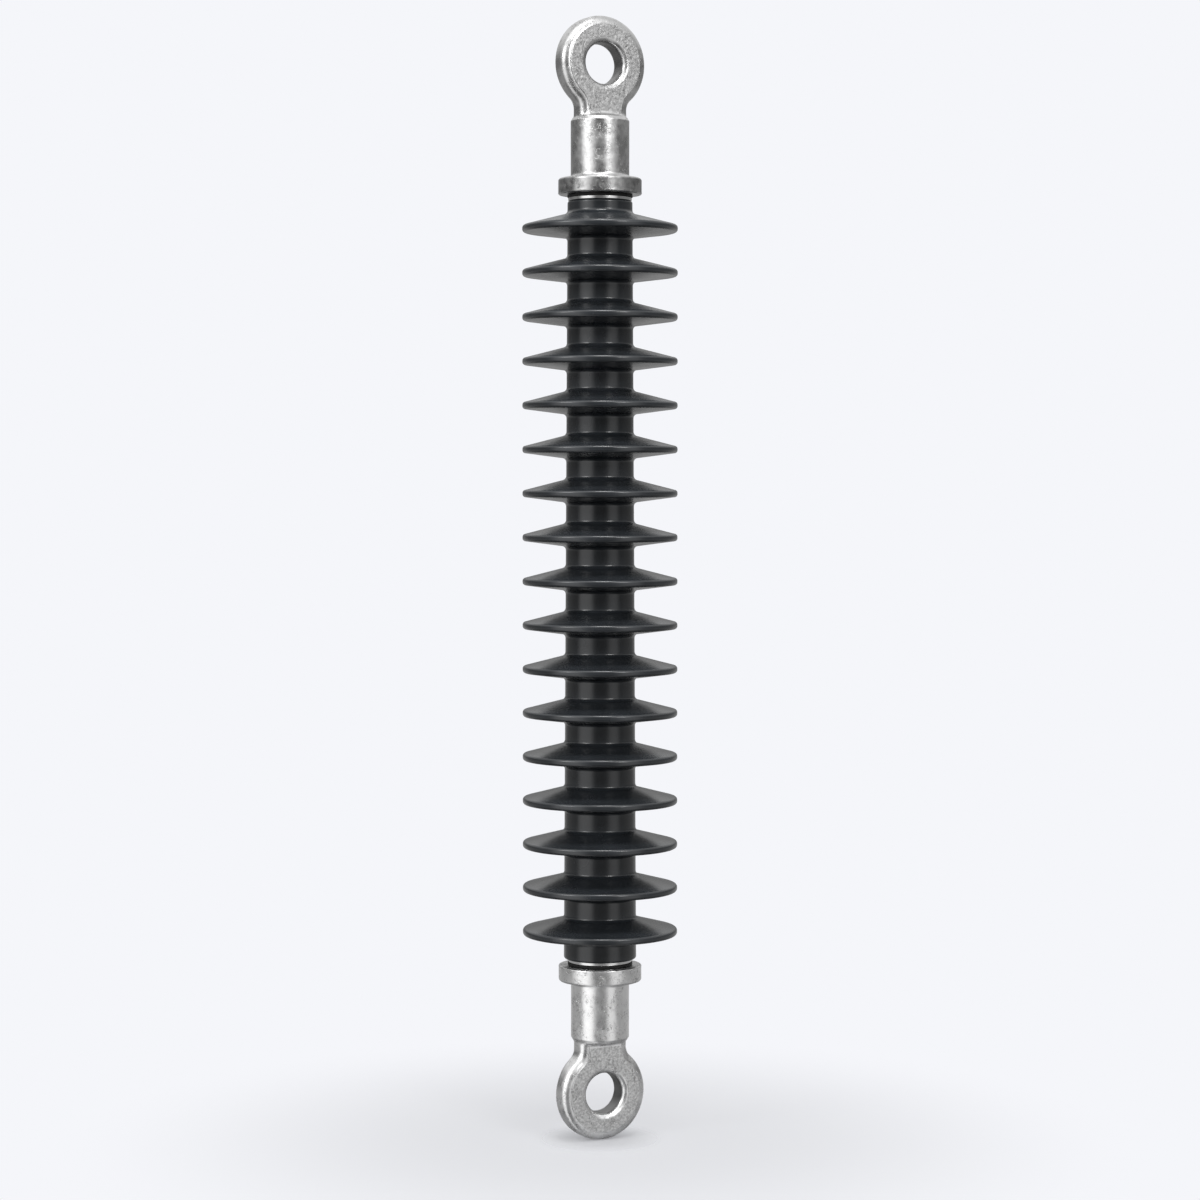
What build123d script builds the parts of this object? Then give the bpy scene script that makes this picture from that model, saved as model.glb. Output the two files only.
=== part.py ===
from build123d import *
import math
import os

# Composite long-rod insulator with a forged eye fitting at each end.
#
# A glass-fibre rod carries the pull. A rubber housing, moulded over the rod in one piece, carries
# the sheds. Each end fitting is one forging: an eye, a neck, a barrel crimped on the rod and a
# collar at the barrel's mouth. Between each collar and the rubber sit a black seal and a bright
# steel ring, both threaded on the rod.
#
# Millimetres. The origin is the centre of the upper eye's bore, +Z points up along the rod and
# both bores run along Y.

# ---- the whole insulator
SECTION_LENGTH = 640.0  # from eye centre to eye centre

# ---- glass-fibre rod and what is bonded to it
ROD_DIAMETER = 20.0
RING_CLEARANCE = 0.1  # radial room for the steel rings; all else is crimped or moulded on the rod

# ---- forged eye
EYE_OUTER_DIAMETER = 58.8
EYE_BORE_DIAMETER = 25.0
EYE_THICKNESS = 15.4
EYE_EDGE_RADIUS = 5.2  # rounding of the forging's outer edges
EYE_MOUTH_RADIUS = 4.0  # rounding of both mouths of the bore

# ---- neck between the eye and the barrel
NECK_WIDTH = 33.2
NECK_CORNER_RADIUS = 8.5  # where the neck runs out into the eye

# ---- crimped barrel, measured down from the eye centre
BARREL_DIAMETER = 36.4
BARREL_SHOULDER = 35.2  # where the barrel reaches its full diameter
BARREL_BEVEL = 1.7  # how far the shoulder's bevel comes in
BARREL_BEVEL_HEIGHT = 2.7
NECK_FOOT_RADIUS = 2.6  # hollow curve from the flats of the neck out to the barrel's end
NECK_FOOT_SLOPE = 40.0  # degrees, of the cone that trims the corners of that foot
ROD_SOCKET_DEPTH = 40.0
ROD_SOCKET_END_ROOM = 0.5  # air left between the rod's end and the socket's bevel
ROD_SOCKET_BEVEL = 1.5

# ---- collar at the barrel's mouth
COLLAR_FACE = 80.5  # from the eye centre
COLLAR_DIAMETER = 51.8
COLLAR_HEIGHT = 10.2
COLLAR_BACK_RADIUS = 1.7
COLLAR_FACE_RADIUS = 1.0
COLLAR_ROOT_RADIUS = 2.2

# ---- seal and steel ring between the collar and the rubber
SEAL_DIAMETER = 40.4
SEAL_HEIGHT = 1.8
SEAL_BEVEL = 0.4
RING_DIAMETER = 39.4
RING_HEIGHT = 2.0
RING_BEVEL = 0.3

# ---- rubber sheath
SHEATH_TOP_DIAMETER = 40.2
SHEATH_BOTTOM_DIAMETER = 45.2
SHEATH_END_RADIUS = 1.6

# ---- sheds
SHED_COUNT = 17
SHED_DIAMETER = 96.4
SHED_RIM_THICKNESS = 4.0
SHED_TOP_SLOPE = 14.5  # degrees below the horizontal, going outwards
SHED_UNDER_SLOPE = 7.5  # degrees above the horizontal, going outwards
SHED_TOP_ROOT_RADIUS = 2.8
SHED_UNDER_ROOT_RADIUS = 2.6
SHED_RIM_EDGE_RADIUS = 1.9
FIRST_SHED = 101.4  # middle of the first and last rims, from the nearer eye centre

# ---- worked out from the values above
rod_radius = ROD_DIAMETER / 2
rubber_end = COLLAR_FACE + SEAL_HEIGHT + RING_HEIGHT  # from the nearer eye centre
rubber_top_z = -rubber_end
rubber_bottom_z = -(SECTION_LENGTH - rubber_end)
first_shed_z = -FIRST_SHED
shed_pitch = (SECTION_LENGTH - 2 * FIRST_SHED) / (SHED_COUNT - 1)
barrel_end = BARREL_BEVEL_HEIGHT - BARREL_SHOULDER
socket_bottom = COLLAR_FACE - ROD_SOCKET_DEPTH  # from the nearer eye centre
rod_end = socket_bottom + ROD_SOCKET_BEVEL + ROD_SOCKET_END_ROOM
rod_length = SECTION_LENGTH - 2 * rod_end


def turned(points):
    """A solid turned about Z from a closed outline of (radius, height) points."""
    return revolve(make_face(Plane.XZ * Polyline(*points, close=True)), Axis.Z)


def circles_about_rod(solid, radius, height):
    """The circular edges about Z of one radius at one height."""
    return [
        edge
        for edge in solid.edges().filter_by(GeomType.CIRCLE)
        if abs(edge.radius - radius) < 1e-3
        and abs(edge.arc_center.Z - height) < 1e-3
        and math.hypot(edge.arc_center.X, edge.arc_center.Y) < 1e-3
    ]


def circles_about_bore(solid, radius):
    """The circular edges of one radius about the bore's axis."""
    return [
        edge
        for edge in solid.edges().filter_by(GeomType.CIRCLE)
        if abs(edge.radius - radius) < 1e-3
        and math.hypot(edge.arc_center.X, edge.arc_center.Z) < 1e-3
    ]


def sheath_radius(height):
    """The sheath's radius at a height: it widens evenly from its top end to its bottom end."""
    share = (rubber_top_z - height) / (rubber_top_z - rubber_bottom_z)
    top = SHEATH_TOP_DIAMETER / 2
    return top + share * (SHEATH_BOTTOM_DIAMETER / 2 - top)


def shed_outline(middle):
    """Four corners of a shed, from its upper root round the rim to its lower root.

    The sheath tapers, so each root is stepped to the sheath's radius at the root's own height.
    """
    rim = SHED_DIAMETER / 2
    corners = []
    for side, slope in ((1, SHED_TOP_SLOPE), (-1, SHED_UNDER_SLOPE)):
        rim_corner = middle + side * SHED_RIM_THICKNESS / 2
        rise = math.tan(math.radians(slope))
        root_height = rim_corner + side * (rim - sheath_radius(middle)) * rise
        root_radius = sheath_radius(root_height)
        root = (root_radius, rim_corner + side * (rim - root_radius) * rise)
        corners.append([root, (rim, rim_corner)])
    (upper_root, upper_rim), (lower_root, lower_rim) = corners
    return [upper_root, upper_rim, lower_rim, lower_root]


def rubber_housing():
    """Sheath and sheds, moulded over the rod as one piece."""
    outline = [(sheath_radius(rubber_top_z), rubber_top_z)]
    radii = [SHEATH_END_RADIUS]
    for number in range(SHED_COUNT):
        outline += shed_outline(first_shed_z - number * shed_pitch)
        radii += [
            SHED_TOP_ROOT_RADIUS,
            SHED_RIM_EDGE_RADIUS,
            SHED_RIM_EDGE_RADIUS,
            SHED_UNDER_ROOT_RADIUS,
        ]
    outline.append((sheath_radius(rubber_bottom_z), rubber_bottom_z))
    radii.append(SHEATH_END_RADIUS)
    bore_line = [(rod_radius, rubber_top_z), (rod_radius, rubber_bottom_z)]
    start, end = bore_line
    section = FilletPolyline(start, *outline, end, radius=radii) + Line(end, start)
    return revolve(make_face(Plane.XZ * section), Axis.Z)


def core_rod():
    """The glass-fibre rod, from one socket to the other."""
    rod = Cylinder(rod_radius, rod_length, align=(Align.CENTER, Align.CENTER, Align.MAX))
    return Pos(0, 0, -rod_end) * rod


def eye_outline():
    """The forging seen along the bore: a ring and a neck joined by hollow corners."""
    outline = Circle(EYE_OUTER_DIAMETER / 2) + Rectangle(
        NECK_WIDTH, COLLAR_FACE, align=(Align.CENTER, Align.MAX)
    )
    corners = [corner for corner in outline.vertices() if corner.Y > -COLLAR_FACE / 2]
    return fillet(corners, NECK_CORNER_RADIUS)


def edge_on_outline():
    """The forging seen from its side: flat eye and neck, spreading into a foot at the barrel."""
    half = EYE_THICKNESS / 2
    foot = half + NECK_FOOT_RADIUS
    top = EYE_OUTER_DIAMETER
    across = math.sqrt(0.5) * NECK_FOOT_RADIUS
    middle = (foot - across, barrel_end + NECK_FOOT_RADIUS - across)
    line = Polyline((0, -COLLAR_FACE), (top, -COLLAR_FACE), (top, barrel_end), (foot, barrel_end))
    line += ThreePointArc((foot, barrel_end), middle, (half, barrel_end + NECK_FOOT_RADIUS))
    line += Polyline((half, barrel_end + NECK_FOOT_RADIUS), (half, top), (0, top))
    line += mirror(line, about=Plane.YZ)
    return make_face(line.edges())


def plate_rim(plate):
    """The edges all round the flats of the eye and neck, down to the foot's end."""
    return [
        edge
        for edge in plate.edges()
        if EYE_THICKNESS / 2 - 1e-3 < abs(edge.center().Y) < EYE_OUTER_DIAMETER - 1e-3
        and edge.center().Z > -COLLAR_FACE + 1e-3
        and (edge.geom_type == GeomType.CIRCLE or abs(edge.center().X) > 1e-3)
    ]


def eye_and_neck():
    """The flat part of the forging: a ring with a neck that runs down into the barrel."""
    plate = extrude(Plane.XZ * eye_outline(), EYE_OUTER_DIAMETER, both=True)
    plate &= extrude(Plane.YZ * edge_on_outline(), EYE_OUTER_DIAMETER, both=True)
    plate = fillet(plate_rim(plate), EYE_EDGE_RADIUS)
    plate -= Rot(90, 0, 0) * Cylinder(EYE_BORE_DIAMETER / 2, 2 * EYE_THICKNESS)
    plate = fillet(circles_about_bore(plate, EYE_BORE_DIAMETER / 2), EYE_MOUTH_RADIUS)
    return plate & foot_trim()


def foot_trim():
    """The space left to the neck: a cone that opens upwards from the end of the barrel."""
    reach = EYE_OUTER_DIAMETER
    rise = reach * math.tan(math.radians(NECK_FOOT_SLOPE))
    return turned(
        [
            (0, -BARREL_SHOULDER),
            (BARREL_DIAMETER / 2, -BARREL_SHOULDER),
            (BARREL_DIAMETER / 2 - BARREL_BEVEL, barrel_end),
            (BARREL_DIAMETER / 2 + reach, barrel_end + rise),
            (BARREL_DIAMETER / 2 + reach, EYE_OUTER_DIAMETER),
            (0, EYE_OUTER_DIAMETER),
        ]
    )


def barrel_and_collar():
    """The turned half of the forging."""
    barrel = BARREL_DIAMETER / 2
    collar = COLLAR_DIAMETER / 2
    collar_back = COLLAR_FACE - COLLAR_HEIGHT
    body = turned(
        [
            (0, barrel_end),
            (barrel - BARREL_BEVEL, barrel_end),
            (barrel, -BARREL_SHOULDER),
            (barrel, -collar_back),
            (collar, -collar_back),
            (collar, -COLLAR_FACE),
            (0, -COLLAR_FACE),
        ]
    )
    body = fillet(circles_about_rod(body, barrel, -collar_back), COLLAR_ROOT_RADIUS)
    body = fillet(circles_about_rod(body, collar, -collar_back), COLLAR_BACK_RADIUS)
    return fillet(circles_about_rod(body, collar, -COLLAR_FACE), COLLAR_FACE_RADIUS)


def rod_socket():
    """The space that the socket takes out of the forging."""
    return turned(
        [
            (0, -COLLAR_FACE),
            (rod_radius, -COLLAR_FACE),
            (rod_radius, -socket_bottom - ROD_SOCKET_BEVEL),
            (rod_radius - ROD_SOCKET_BEVEL, -socket_bottom),
            (0, -socket_bottom),
        ]
    )


def eye_fitting():
    """One end fitting in one piece, eye up, with the eye's centre at the origin."""
    return eye_and_neck() + barrel_and_collar() - rod_socket()


def threaded_on_rod(diameter, height, bevel, clearance):
    """A flat ring about the rod, standing on the plane Z = 0, with bevelled outer edges."""
    ring = Cylinder(diameter / 2, height, align=(Align.CENTER, Align.CENTER, Align.MIN))
    ring = chamfer(ring.edges().filter_by(GeomType.CIRCLE), bevel)
    return ring - Cylinder(rod_radius + clearance, 3 * height)


def at_lower_end(shape):
    """The same piece at the other end: turned end for end about the bores' direction."""
    return Pos(0, 0, -SECTION_LENGTH) * Rot(0, 180, 0) * shape


def build():
    """Every piece of the insulator by name."""
    fitting = eye_fitting()
    seal = threaded_on_rod(SEAL_DIAMETER, SEAL_HEIGHT, SEAL_BEVEL, 0)
    seal = Pos(0, 0, -COLLAR_FACE - SEAL_HEIGHT) * seal
    ring = threaded_on_rod(RING_DIAMETER, RING_HEIGHT, RING_BEVEL, RING_CLEARANCE)
    ring = Pos(0, 0, -rubber_end) * ring
    return {
        "core_rod": core_rod(),
        "rubber_housing": rubber_housing(),
        "upper_eye_fitting": fitting,
        "lower_eye_fitting": at_lower_end(fitting),
        "upper_seal": seal,
        "lower_seal": at_lower_end(seal),
        "upper_steel_ring": ring,
        "lower_steel_ring": at_lower_end(ring),
    }


os.makedirs("parts", exist_ok=True)
for name, piece in build().items():
    export_step(piece, f"parts/{name}.step")
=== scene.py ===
# %% [markdown]
# # A long-rod composite insulator
# The part is a rubber housing with seventeen sheds on a glass-fibre rod, with a forged steel eye
# at each end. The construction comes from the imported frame. This script gives each visible piece
# its finished surface. Lengths below are in millimetres and are turned to metres when a mesh is
# made.

# %% Load the fixed frame
import math

import bmesh
import bpy
import numpy as np
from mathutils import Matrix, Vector


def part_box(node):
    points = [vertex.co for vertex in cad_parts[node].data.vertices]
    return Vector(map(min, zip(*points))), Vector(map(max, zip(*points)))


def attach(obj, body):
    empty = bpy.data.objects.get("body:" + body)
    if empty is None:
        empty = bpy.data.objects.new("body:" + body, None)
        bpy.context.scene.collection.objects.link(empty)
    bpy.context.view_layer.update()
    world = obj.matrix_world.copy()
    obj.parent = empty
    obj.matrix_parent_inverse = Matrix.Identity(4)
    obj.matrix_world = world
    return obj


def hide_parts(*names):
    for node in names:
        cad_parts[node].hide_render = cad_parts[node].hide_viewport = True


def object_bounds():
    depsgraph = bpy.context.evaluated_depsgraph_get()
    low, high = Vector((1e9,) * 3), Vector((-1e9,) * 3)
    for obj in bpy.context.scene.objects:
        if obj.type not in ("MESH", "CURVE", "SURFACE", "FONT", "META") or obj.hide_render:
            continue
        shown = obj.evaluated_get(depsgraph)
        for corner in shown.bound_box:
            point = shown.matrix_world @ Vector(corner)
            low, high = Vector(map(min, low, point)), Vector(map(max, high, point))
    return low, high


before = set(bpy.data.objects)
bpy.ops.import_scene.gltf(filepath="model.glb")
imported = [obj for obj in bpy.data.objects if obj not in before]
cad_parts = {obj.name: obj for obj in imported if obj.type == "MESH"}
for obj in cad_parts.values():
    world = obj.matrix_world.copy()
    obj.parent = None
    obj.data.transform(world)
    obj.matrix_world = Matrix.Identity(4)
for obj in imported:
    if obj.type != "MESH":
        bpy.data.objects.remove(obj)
cad_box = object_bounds()
print("box of the frame:", cad_box)

# %% [markdown]
# ## The camera
# A long lens stands nearly two metres away, a little above the middle of the insulator and turned
# to one side, so that the flat eyes are seen at an angle. It comes first because the rest is
# judged through it.

# %% Place the camera
CAMERA_AZIMUTH = -28.5  # degrees, seen from above; zero looks along +Y
CAMERA_DISTANCE = 1825.0
CAMERA_HEIGHT = -258.0
AIM_HEIGHT = -331.5
CAMERA_LENS = 88.0
SENSOR_WIDTH = 36.0
MM = 0.001


def around(azimuth, distance, height):
    """A point in metres at an azimuth in degrees, a distance from the rod and a height, in mm."""
    angle = math.radians(azimuth)
    return Vector((math.sin(angle) * distance, -math.cos(angle) * distance, height)) * MM


def aim(thing, target):
    """Turns an object so that its -Z axis points at a target."""
    direction = Vector(target) - thing.location
    thing.rotation_euler = direction.to_track_quat("-Z", "Y").to_euler()


camera = bpy.data.objects.new("camera", bpy.data.cameras.new("camera"))
camera.data.lens = CAMERA_LENS
camera.data.sensor_width = SENSOR_WIDTH
camera.location = around(CAMERA_AZIMUTH, CAMERA_DISTANCE, CAMERA_HEIGHT)
aim(camera, (0, 0, AIM_HEIGHT * MM))
bpy.context.collection.objects.link(camera)
bpy.context.scene.camera = camera
bpy.context.scene.view_settings.view_transform = "Standard"
print("camera at", tuple(round(v, 3) for v in camera.location))

# %% [markdown]
# ## Profiles and grids
# Nearly every piece here is a profile: a line that is turned about the rod or carried along an
# outline. A profile could be typed in as many points. It is shorter and truer to give its corners
# and the radius of each, and to let one function cut the arcs.

# %% Round the corners of a profile


def rounded(corners, radii, steps):
    """The points of a line whose inner corners are replaced by arcs.

    An arc starts and ends at radius / tan(half the corner's angle) from the corner, and its centre
    lies on the corner's bisector at radius / sin(half the angle).
    """
    corners = np.asarray(corners, float)
    before, here, after = corners[:-2], corners[1:-1], corners[2:]
    radii = np.asarray(radii, float)[:, None]
    back = before - here
    ahead = after - here
    back /= np.linalg.norm(back, axis=1, keepdims=True)
    ahead /= np.linalg.norm(ahead, axis=1, keepdims=True)
    half = np.arccos(np.clip((back * ahead).sum(1, keepdims=True), -1, 1)) / 2
    bisector = back + ahead
    bisector /= np.linalg.norm(bisector, axis=1, keepdims=True)
    centre = here + bisector * radii / np.sin(half)
    first = here + back * radii / np.tan(half) - centre
    last = here + ahead * radii / np.tan(half) - centre
    start = np.arctan2(first[:, 1], first[:, 0])
    turn = np.arctan2(last[:, 1], last[:, 0]) - start
    turn = (turn + np.pi) % (2 * np.pi) - np.pi
    angle = start[:, None] + turn[:, None] * np.linspace(0, 1, steps + 1)
    arcs = centre[:, None, :] + radii[:, :, None] * np.stack([np.cos(angle), np.sin(angle)], -1)
    return np.concatenate([corners[:1], arcs.reshape(-1, 2), corners[-1:]])


def divided(profile, longest):
    """The same line with extra points, so that no stretch is longer than a given length."""
    stretches = np.linalg.norm(np.diff(profile, axis=0), axis=1)
    counts = np.maximum(1, np.ceil(stretches / longest)).astype(int)
    places = np.concatenate([n + np.arange(c) / c for n, c in enumerate(counts)] + [[len(counts)]])
    at = np.arange(len(profile))
    return np.stack([np.interp(places, at, profile[:, k]) for k in (0, 1)], -1)


# %% Turn grids of points into one mesh
WELD = 2e-6  # metres within which two points become one
SLIVER = 1e-7  # metres below which an edge is dissolved


def grid_faces(rows, columns, closed):
    """Four-cornered faces of a grid; closed says that the last column meets the first."""
    row, column = np.meshgrid(
        np.arange(rows - 1), np.arange(columns if closed else columns - 1), indexing="ij"
    )
    beside = (column + 1) % columns
    corners = [row * columns + column, row * columns + beside]
    corners += [(row + 1) * columns + beside, (row + 1) * columns + column]
    return np.stack(corners, -1).reshape(-1, 4)


def turned(profile, segments):
    """A profile of (radius, height) turned about the rod: x = r cos a, y = r sin a, z = height."""
    angle = np.arange(segments) * 2 * np.pi / segments
    radius, height = profile[:, :1], profile[:, 1:]
    return np.stack(
        [radius * np.cos(angle), radius * np.sin(angle), height + 0 * angle], -1
    )


def joined_mesh(name, patches):
    """One mesh from (grid of points in mm, closed) patches, welded where their edges meet."""
    points, faces, count = [], [], 0
    for grid, closed in patches:
        points.append(grid.reshape(-1, 3) * MM)
        faces.append(grid_faces(grid.shape[0], grid.shape[1], closed) + count)
        count += grid.shape[0] * grid.shape[1]
    mesh = bpy.data.meshes.new(name)
    mesh.from_pydata(np.concatenate(points).tolist(), [], np.concatenate(faces).tolist())
    work = bmesh.new()
    work.from_mesh(mesh)
    bmesh.ops.remove_doubles(work, verts=work.verts, dist=WELD)
    bmesh.ops.dissolve_degenerate(work, edges=work.edges, dist=SLIVER)
    bmesh.ops.recalc_face_normals(work, faces=work.faces)
    open_edges = sum(not edge.is_manifold for edge in work.edges)
    work.to_mesh(mesh)
    work.free()
    mesh.shade_smooth()
    print(f"{name}: {len(mesh.polygons)} faces, {open_edges} open edges")
    return mesh


def vertex_places(mesh):
    """All vertices of a mesh as an array of millimetres."""
    flat = np.empty(len(mesh.vertices) * 3)
    mesh.vertices.foreach_get("co", flat)
    return flat.reshape(-1, 3) / MM


def vertex_normals(mesh):
    """All vertex normals of a mesh."""
    flat = np.empty(len(mesh.vertices) * 3)
    mesh.vertices.foreach_get("normal", flat)
    return flat.reshape(-1, 3)


def put_places(mesh, places):
    """Writes vertices, in millimetres, back into a mesh."""
    mesh.vertices.foreach_set("co", (places * MM).ravel())
    mesh.update()


def finished(mesh, material, node):
    """Makes the mesh a piece that rides on the insulator and stands for one node of the frame."""
    piece = bpy.data.objects.new(mesh.name, mesh)
    bpy.context.collection.objects.link(piece)
    mesh.materials.append(material)
    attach(piece, "root")
    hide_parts(node)
    return piece


def keep_flats_flat(piece):
    """Weights the shading by face area, so that small arcs don't bend the light on big faces."""
    modifier = piece.modifiers.new("flat faces stay flat", "WEIGHTED_NORMAL")
    modifier.mode = "FACE_AREA"
    modifier.keep_sharp = False


# %% [markdown]
# ## Tools for the finishes
# A material is a small network of nodes. One function adds a node with its settings and links,
# and one turns the colours of a paint chart, which are written for the screen, to the linear
# values that light is worked out with. Pattern sizes are given in millimetres on the real part.

# %% Helpers for the materials


def linear(code):
    """A colour like "#808080" as linear red, green, blue and alpha.

    Below 0.04045 a channel is divided by 12.92; above it is ((channel + 0.055) / 1.055) ^ 2.4.
    """
    channels = np.array([int(code[k : k + 2], 16) for k in (1, 3, 5)]) / 255
    dark = channels / 12.92
    light = ((channels + 0.055) / 1.055) ** 2.4
    return (*np.where(channels <= 0.04045, dark, light).tolist(), 1.0)


def per_mm(size):
    """The texture scale that makes one feature this many millimetres wide."""
    return 1.0 / (size * MM)


def add_node(tree, kind, settings=None, values=None, links=None):
    """Adds a node, sets its properties and the values of its sockets, and links its inputs.

    A link may give an output or a whole node, which stands for its first output.
    """
    node = tree.nodes.new("ShaderNode" + kind)
    for name, value in (settings or {}).items():
        setattr(node, name, value)
    for socket, value in (values or {}).items():
        node.inputs[socket].default_value = value
    for socket, source in (links or {}).items():
        if isinstance(source, bpy.types.Node):
            source = source.outputs[0]
        tree.links.new(source, node.inputs[socket])
    return node


def new_material(name):
    """An empty material, its node tree, and the place on the part in the object's own metres."""
    material = bpy.data.materials.new(name)
    material.use_nodes = True
    material.node_tree.nodes.clear()
    place = add_node(material.node_tree, "TexCoord").outputs["Object"]
    return material, material.node_tree, place


def finish_material(material, values, links):
    """Ends a material in one Principled shader with the given values and links."""
    tree = material.node_tree
    shader = add_node(tree, "BsdfPrincipled", values=values, links=links)
    add_node(tree, "OutputMaterial", links={"Surface": shader})
    print(f"{material.name}: {len(tree.nodes)} nodes")


# %% [markdown]
# ## The rubber housing
# On the real insulator the sheath and its sheds are moulded over the rod in one shot of silicone
# rubber. The sheds could be seventeen copies of one disc on a tube, but then each root would be a
# hard corner. One profile that runs down the whole housing and is turned once keeps every root and
# rim round, and lets the sheath widen a little from top to bottom.

# %% Sizes of the housing
SECTION_LENGTH = 640.0
SHED_COUNT = 17
SHED_RADIUS = 48.2
SHED_RIM_THICKNESS = 4.0
SHED_TOP_SLOPE = math.radians(14.5)
SHED_UNDER_SLOPE = math.radians(7.5)
SHED_TOP_ROOT = 2.8
SHED_UNDER_ROOT = 2.6
SHED_RIM_EDGE = 1.9
FIRST_SHED = 101.4
SHEATH_TOP_RADIUS = 20.1
SHEATH_BOTTOM_RADIUS = 22.6
SHEATH_END_ROUNDING = 1.6
ROD_RADIUS = 10.0
HOUSING_STEP = 7.0  # longest stretch between two points down the housing
ROUND_COLUMNS = 128  # columns of every piece that is turned
housing_low, housing_high = (np.array(corner)[2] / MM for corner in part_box("rubber_housing"))
print("rubber from", round(housing_high, 2), "to", round(housing_low, 2))

# %% Profile of the housing


def sheath_radius(height):
    """The sheath widens evenly from its upper end to its lower end."""
    share = (housing_high - height) / (housing_high - housing_low)
    return SHEATH_TOP_RADIUS + share * (SHEATH_BOTTOM_RADIUS - SHEATH_TOP_RADIUS)


middles = np.linspace(-FIRST_SHED, FIRST_SHED - SECTION_LENGTH, SHED_COUNT)
reach = SHED_RADIUS - sheath_radius(middles)
upper_rim = middles + SHED_RIM_THICKNESS / 2
lower_rim = middles - SHED_RIM_THICKNESS / 2
upper_root = upper_rim + reach * np.tan(SHED_TOP_SLOPE)
lower_root = lower_rim - reach * np.tan(SHED_UNDER_SLOPE)
rim = np.full(SHED_COUNT, SHED_RADIUS)
shed_corners = np.stack(
    [
        np.stack([sheath_radius(upper_root), upper_root], -1),
        np.stack([rim, upper_rim], -1),
        np.stack([rim, lower_rim], -1),
        np.stack([sheath_radius(lower_root), lower_root], -1),
    ],
    1,
).reshape(-1, 2)
housing_corners = np.concatenate(
    [
        [(ROD_RADIUS, housing_high), (SHEATH_TOP_RADIUS, housing_high)],
        shed_corners,
        [(SHEATH_BOTTOM_RADIUS, housing_low), (ROD_RADIUS, housing_low)],
    ]
)
shed_radii = [SHED_TOP_ROOT, SHED_RIM_EDGE, SHED_RIM_EDGE, SHED_UNDER_ROOT]
housing_radii = [SHEATH_END_ROUNDING] + shed_radii * SHED_COUNT + [SHEATH_END_ROUNDING]
housing_profile = divided(rounded(housing_corners, housing_radii, steps=6), HOUSING_STEP)
housing_profile = np.concatenate([housing_profile, housing_profile[:1]])
print("points down the housing:", len(housing_profile))

# %% [markdown]
# Silicone rubber for outdoor use is filled with mineral powder, which makes it nearly black. The
# polished mould leaves it smooth, so it shines softly: two faint upright streaks on the sheath, a
# thin line along each rim and pale sheds where the light grazes them. A fine orange-peel and a
# bloom of dust change how sharply it shines. That change tells the eye that it is rubber.

# %% Moulded silicone rubber
rubber, tree, place = new_material("moulded_silicone_rubber")
bloom = add_node(
    tree, "TexNoise", values={"Scale": per_mm(24), "Detail": 4.0}, links={"Vector": place}
)
bloom = add_node(
    tree, "MapRange", values={"From Min": 0.35, "From Max": 0.65}, links={"Value": bloom}
)
rubber_colour = add_node(
    tree,
    "Mix",
    settings={"data_type": "RGBA"},
    values={6: linear("#33373b"), 7: linear("#3b3f44")},
    links={0: bloom},
).outputs[2]
rubber_roughness = add_node(
    tree, "MapRange", values={"To Min": 0.22, "To Max": 0.28}, links={"Value": bloom}
)
hollows = add_node(
    tree, "TexNoise", values={"Scale": per_mm(10), "Detail": 1.0}, links={"Vector": place}
)
hollows = add_node(
    tree, "Bump", values={"Strength": 0.3, "Distance": 0.08 * MM}, links={"Height": hollows}
)
peel = add_node(
    tree, "TexNoise", values={"Scale": per_mm(0.9), "Detail": 2.0}, links={"Vector": place}
)
peel = add_node(
    tree,
    "Bump",
    values={"Strength": 0.3, "Distance": 0.004 * MM},
    links={"Height": peel, "Normal": hollows},
)
finish_material(
    rubber,
    {"Metallic": 0.0, "IOR": 1.58},
    {"Base Color": rubber_colour, "Roughness": rubber_roughness, "Normal": peel},
)

# %% Make the housing
housing = finished(
    joined_mesh("housing_with_sheds", [(turned(housing_profile, ROUND_COLUMNS), True)]),
    rubber,
    "rubber_housing",
)
keep_flats_flat(housing)

# %% [markdown]
# ## Seals and steel rings
# Between each collar and the rubber sit a black seal and a bright turned ring. They could be
# cylinders with a Bevel modifier. The housing's own way is used instead, a closed profile turned
# about the rod, because it makes the bore and the broken edges, which catch a thin line of light,
# in one step.

# %% Black sealing rubber
sealing, tree, place = new_material("black_sealing_rubber")
dull = add_node(tree, "TexNoise", values={"Scale": per_mm(3)}, links={"Vector": place})
dull = add_node(
    tree,
    "MapRange",
    values={"From Min": 0.3, "From Max": 0.7, "To Min": 0.55, "To Max": 0.7},
    links={"Value": dull},
)
skin = add_node(tree, "TexNoise", values={"Scale": per_mm(0.6)}, links={"Vector": place})
skin = add_node(tree, "Bump", values={"Distance": 0.03 * MM}, links={"Height": skin})
finish_material(
    sealing,
    {"Base Color": linear("#0a0a0b"), "Metallic": 0.0, "IOR": 1.5},
    {"Roughness": dull, "Normal": skin},
)

# %% Bright turned steel
bright, tree, place = new_material("bright_turned_steel")
TOOL_MARK = 2.2  # mm between the lathe tool's marks, drawn far coarser than real ones to show
WAVES_PER_UNIT = 20 / math.tau  # of a wave texture at scale 1
tool_marks = add_node(
    tree,
    "TexWave",
    settings={"bands_direction": "Z"},
    values={"Scale": per_mm(TOOL_MARK) / WAVES_PER_UNIT, "Distortion": 0.6, "Detail": 2.0},
    links={"Vector": place},
)
tool_marks = add_node(tree, "Bump", values={"Distance": 0.006 * MM}, links={"Height": tool_marks})
stain = add_node(tree, "TexNoise", values={"Scale": per_mm(6)}, links={"Vector": place})
steel_colour = add_node(
    tree,
    "Mix",
    settings={"data_type": "RGBA"},
    values={6: linear("#c9c9c9"), 7: linear("#e2e2e2")},
    links={0: stain},
).outputs[2]
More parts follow.
